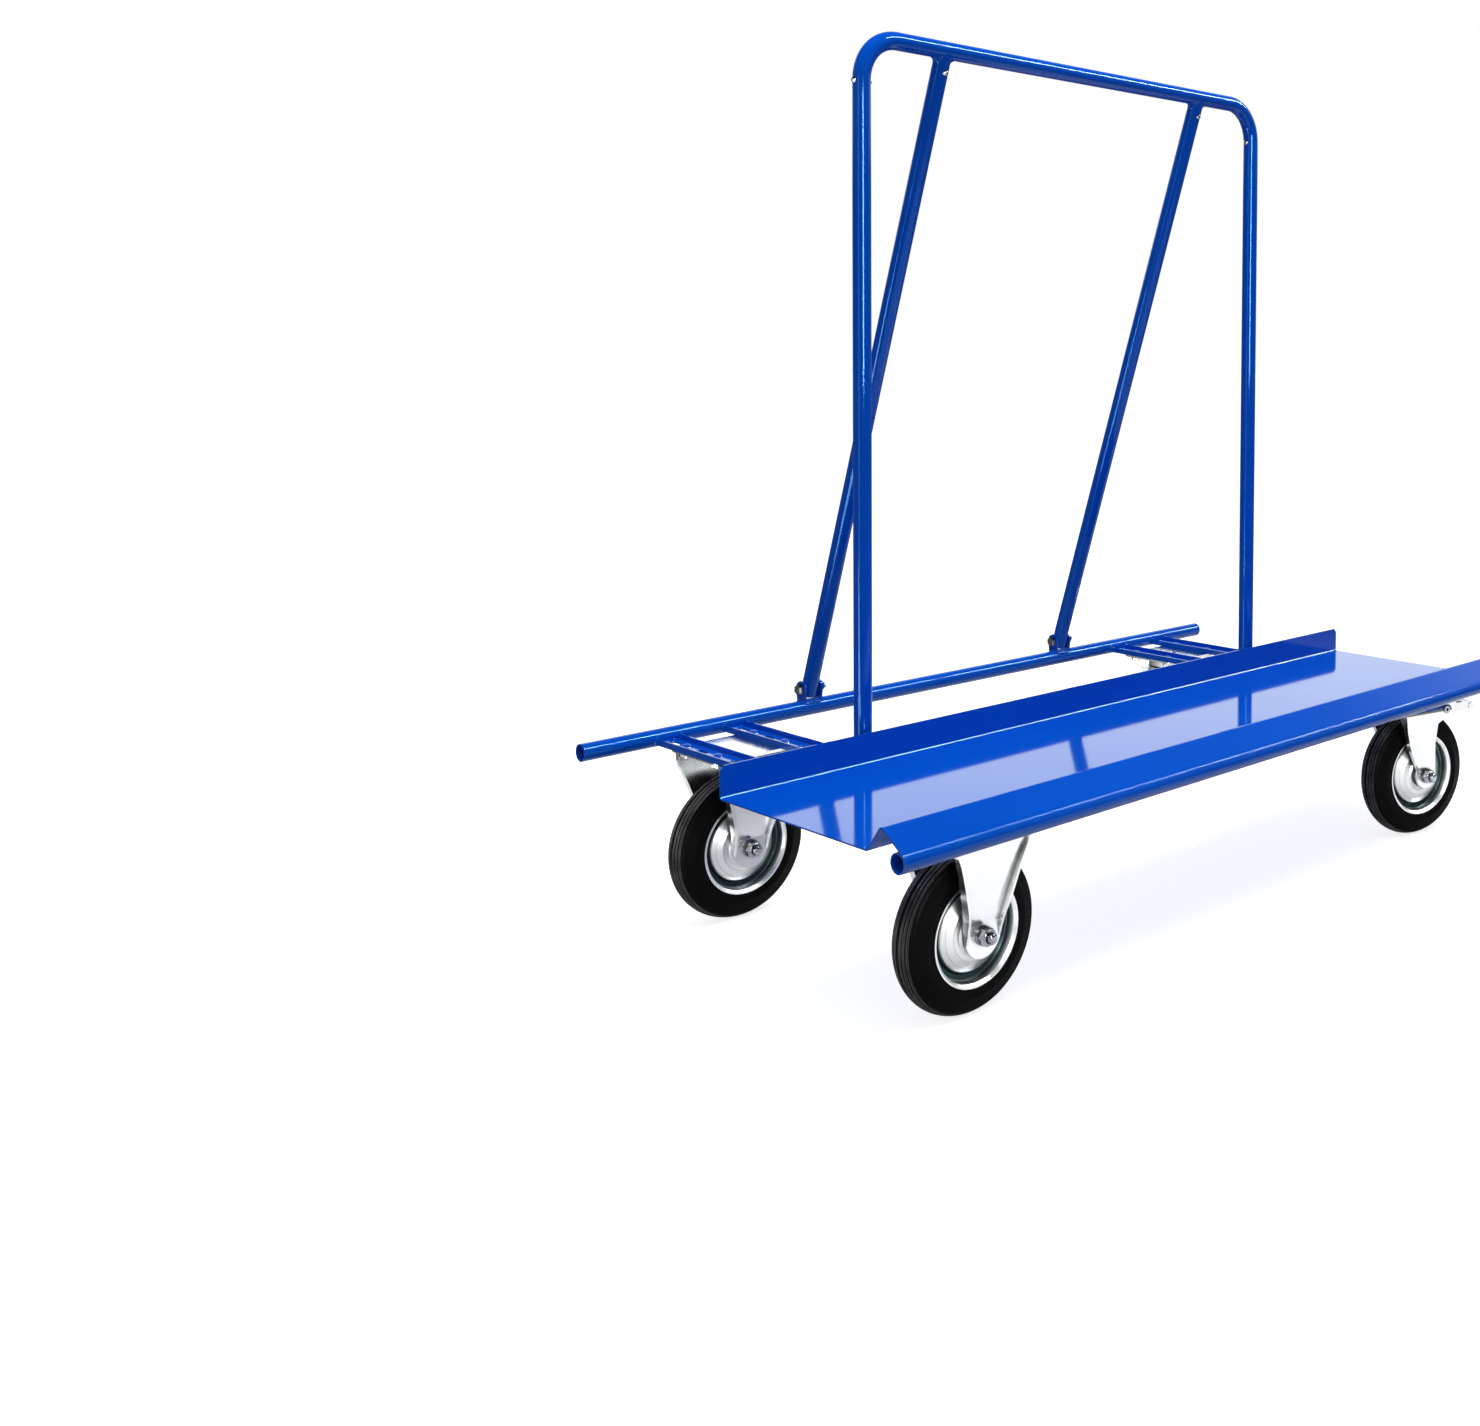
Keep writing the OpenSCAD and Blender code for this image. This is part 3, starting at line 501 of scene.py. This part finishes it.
class Pile:
    """Points and faces of many small closed pieces that become one mesh."""

    def __init__(self):
        self.points, self.faces = [], []

    def tube(self, rows, ends=True):
        """Quads between closed rows of points, with a face on each end."""
        start, columns = len(self.points), len(rows[0])
        self.points += [tuple(p) for row in rows for p in row]
        for i in range(len(rows) - 1):
            for j in range(columns):
                a, b = start + i * columns + j, start + i * columns + (j + 1) % columns
                self.faces.append((a, b, b + columns, a + columns))
        if ends:
            self.faces.append(tuple(range(start, start + columns)))
            self.faces.append(tuple(range(len(self.points) - 1, len(self.points) - columns - 1, -1)))

    def bead(self, path, radius, phase=0.0):
        """Weld bead: a rounded string of overlapping drops along the path."""
        path = [Vector(p) for p in path]
        lengths = [(b - a).length for a, b in zip(path, path[1:])]
        length = sum(lengths)
        steps = max(BEAD_STEPS, int(length / (radius * BEAD_STEP)))
        rows, passed, part = [], 0.0, 0
        for i in range(steps + 1):
            want = length * i / steps
            while part < len(lengths) - 1 and passed + lengths[part] < want:
                passed += lengths[part]
                part += 1
            along = (path[part + 1] - path[part]).normalized()
            side = along.orthogonal().normalized()
            swell = min(1.0, BEAD_SWELL * min(i, steps - i) / steps + BEAD_END)
            r = radius * swell * (1 + BEAD_RIPPLE * math.sin(phase + want / (radius * BEAD_WAVE)))
            centre = path[part] + along * (want - passed)
            rows.append(ring(centre, side, along.cross(side), [r] * BEAD_SIDES))
        self.tube(rows)

    def finish(self, name, material, body):
        """Makes a piece of the pile that rides on a body, with doubled points joined and faces outwards."""
        mesh = bpy.data.meshes.new(name)
        mesh.from_pydata(self.points, [], self.faces)
        work = bmesh.new()
        work.from_mesh(mesh)
        bmesh.ops.remove_doubles(work, verts=work.verts, dist=1e-7)
        bmesh.ops.recalc_face_normals(work, faces=work.faces)
        work.to_mesh(mesh)
        work.free()
        mesh.polygons.foreach_set("use_smooth", [True] * len(mesh.polygons))
        mesh.materials.append(material)
        obj = put(name, mesh)
        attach(obj, body)
        return obj


def brace_fillets(pile):
    """Concave webs of weld where each brace runs into the hoop's bar."""
    down = Vector((0, math.sin(BRACE_TILT), -math.cos(BRACE_TILT)))
    ahead = Vector((1, 0, 0))
    across = ahead.cross(down)
    parts = [j / FILLET_STEPS for j in range(FILLET_STEPS + 1)]
    for x in (-BRACE_X, BRACE_X):
        for side in (-1, 1):
            rows = []
            for turn in FILLET_TURNS:
                cos, sin = math.cos(math.radians(turn)), math.sin(math.radians(turn))
                out = side * cos * ahead + sin * across
                corner = BAR + Vector((x, 0, 0))
                corner += (TUBE_R - FILLET_SINK) * out + (TUBE_R * cos - FILLET_SINK) * down
                low = corner + FILLET_REACH * cos * down
                wide = corner + side * FILLET_REACH * cos * ahead
                curve = [(1 - t) ** 2 * low + 2 * t * (1 - t) * corner + t * t * wide for t in parts]
                rows.append(curve + [corner])
            pile.tube(rows)


def channel_beads(pile):
    """Beads where each channel's walls and web meet the long tubes; numbers are in millimetres."""
    wall_middle, wall_sides = 18, ((19.2, 1.9), (16.8, 1.6))
    wall_heights = [234.5 + k for k in range(9)]
    wall_top, web = 243.2, 236.2
    for x in CHANNELS:
        for side in (-1, 1):
            def on_tube(offset, z, lift=0.0):
                """Point just inside the tube's surface, offset from the channel's middle and lifted."""
                y = TUBE_Y - math.sqrt(TUBE_R ** 2 - (z * MM - TUBE_Z) ** 2) - 0.4 * MM
                return (x + offset * MM, side * y, (z + lift) * MM)

            for wall in (-1, 1):
                for offset, r in wall_sides:
                    pile.bead([on_tube(wall * offset, z) for z in wall_heights], r * MM, phase=x * 90)
                ends = (wall * wall_middle - 2.2, wall * wall_middle + 2.2)
                pile.bead([on_tube(offset, wall_top, lift=0.2) for offset in ends], 2.5 * MM, phase=wall)
            pile.bead([on_tube(-16, web), on_tube(16, web)], 1.8 * MM)


def clevis_beads(pile):
    """Beads round the foot of each brace's clevis, on the rear tube: two along it and two round it."""
    along_y, along_half, along_r = 8.6 * MM, 15 * MM, 2.4 * MM
    round_x, round_r = 16.2 * MM, 2.2 * MM
    round_turns = [math.radians(a) for a in range(-44, 45, 8)]
    z = TUBE_Z + math.sqrt(TUBE_R ** 2 - along_y ** 2)
    for x in (-BRACE_X, BRACE_X):
        for side in (-1, 1):
            y = TUBE_Y + side * along_y
            pile.bead([(x - along_half, y, z), (x + along_half, y, z)], along_r, phase=side)
            arc = [(TUBE_Y + TUBE_R * math.sin(a), TUBE_Z + TUBE_R * math.cos(a)) for a in round_turns]
            pile.bead([(x + side * round_x, *point) for point in arc], round_r, phase=x * 50)


def tray_beads(pile):
    """Short stitches that hold the tray's rolled edge to the front tube, on its underside."""
    first, step, count, half = -0.55, 0.22, 6, 18 * MM
    y, z = -TUBE_Y + 8.2 * MM, TUBE_Z - 9.4 * MM
    for k in range(count):
        x = first + step * k
        pile.bead([(x - half, y, z), (x + half, y, z)], 2 * MM, phase=k)


def add_welds(paint):
    pile = Pile()
    brace_fillets(pile)
    channel_beads(pile)
    clevis_beads(pile)
    tray_beads(pile)
    pile.finish("welds", paint, "base")


def add_axle_end(name, steel, body, centre, axis):
    """Washer face of the axle's nut and the cut thread that stands out of it, on the near side."""
    centre, out = Vector(centre), -Vector(axis)
    side = Vector((0, 0, 1))
    other = out.cross(side)

    def row(along, radii):
        return ring(centre + along * out, side, other, radii)

    def cut(along):
        """Radii round the thread at one place along the axle."""
        radii = []
        for j in range(AXLE_SIDES):
            part = (j / AXLE_SIDES + along / THREAD_PITCH) % 1
            radii.append(THREAD_R - THREAD_DEPTH + THREAD_DEPTH * abs(2 * part - 1))
        return radii

    pile = Pile()
    pile.tube([row(NUT_FACE + height * MM, [r * MM] * AXLE_SIDES) for r, height in COLLAR], ends=False)
    places = [NUT_FACE + (THREAD_END - NUT_FACE) * i / THREAD_STEPS for i in range(THREAD_STEPS + 1)]
    rows = [row(along, cut(along)) for along in places]
    rows += [row(THREAD_END + height * MM, [r * MM] * AXLE_SIDES) for r, height in CHAMFER]
    pile.tube(rows)
    piece = pile.finish(name, steel, body)


def add_axle_ends(steel):
    for where, joint in spin_joints():
        add_axle_end("axle_end_" + where, steel, joint["parent"], joint["pos_m"], joint["axis"])


add_camera()
add_stage()
add_world()
add_lamps()
finishes = {"blue_paint": blue_paint(), "zinc_plate": zinc_plate(), "bright_steel": bright_steel()}
dress_nodes(finishes)
add_welds(finishes["blue_paint"])
add_axle_ends(finishes["bright_steel"])

bpy.context.scene.view_settings.view_transform = "Standard"
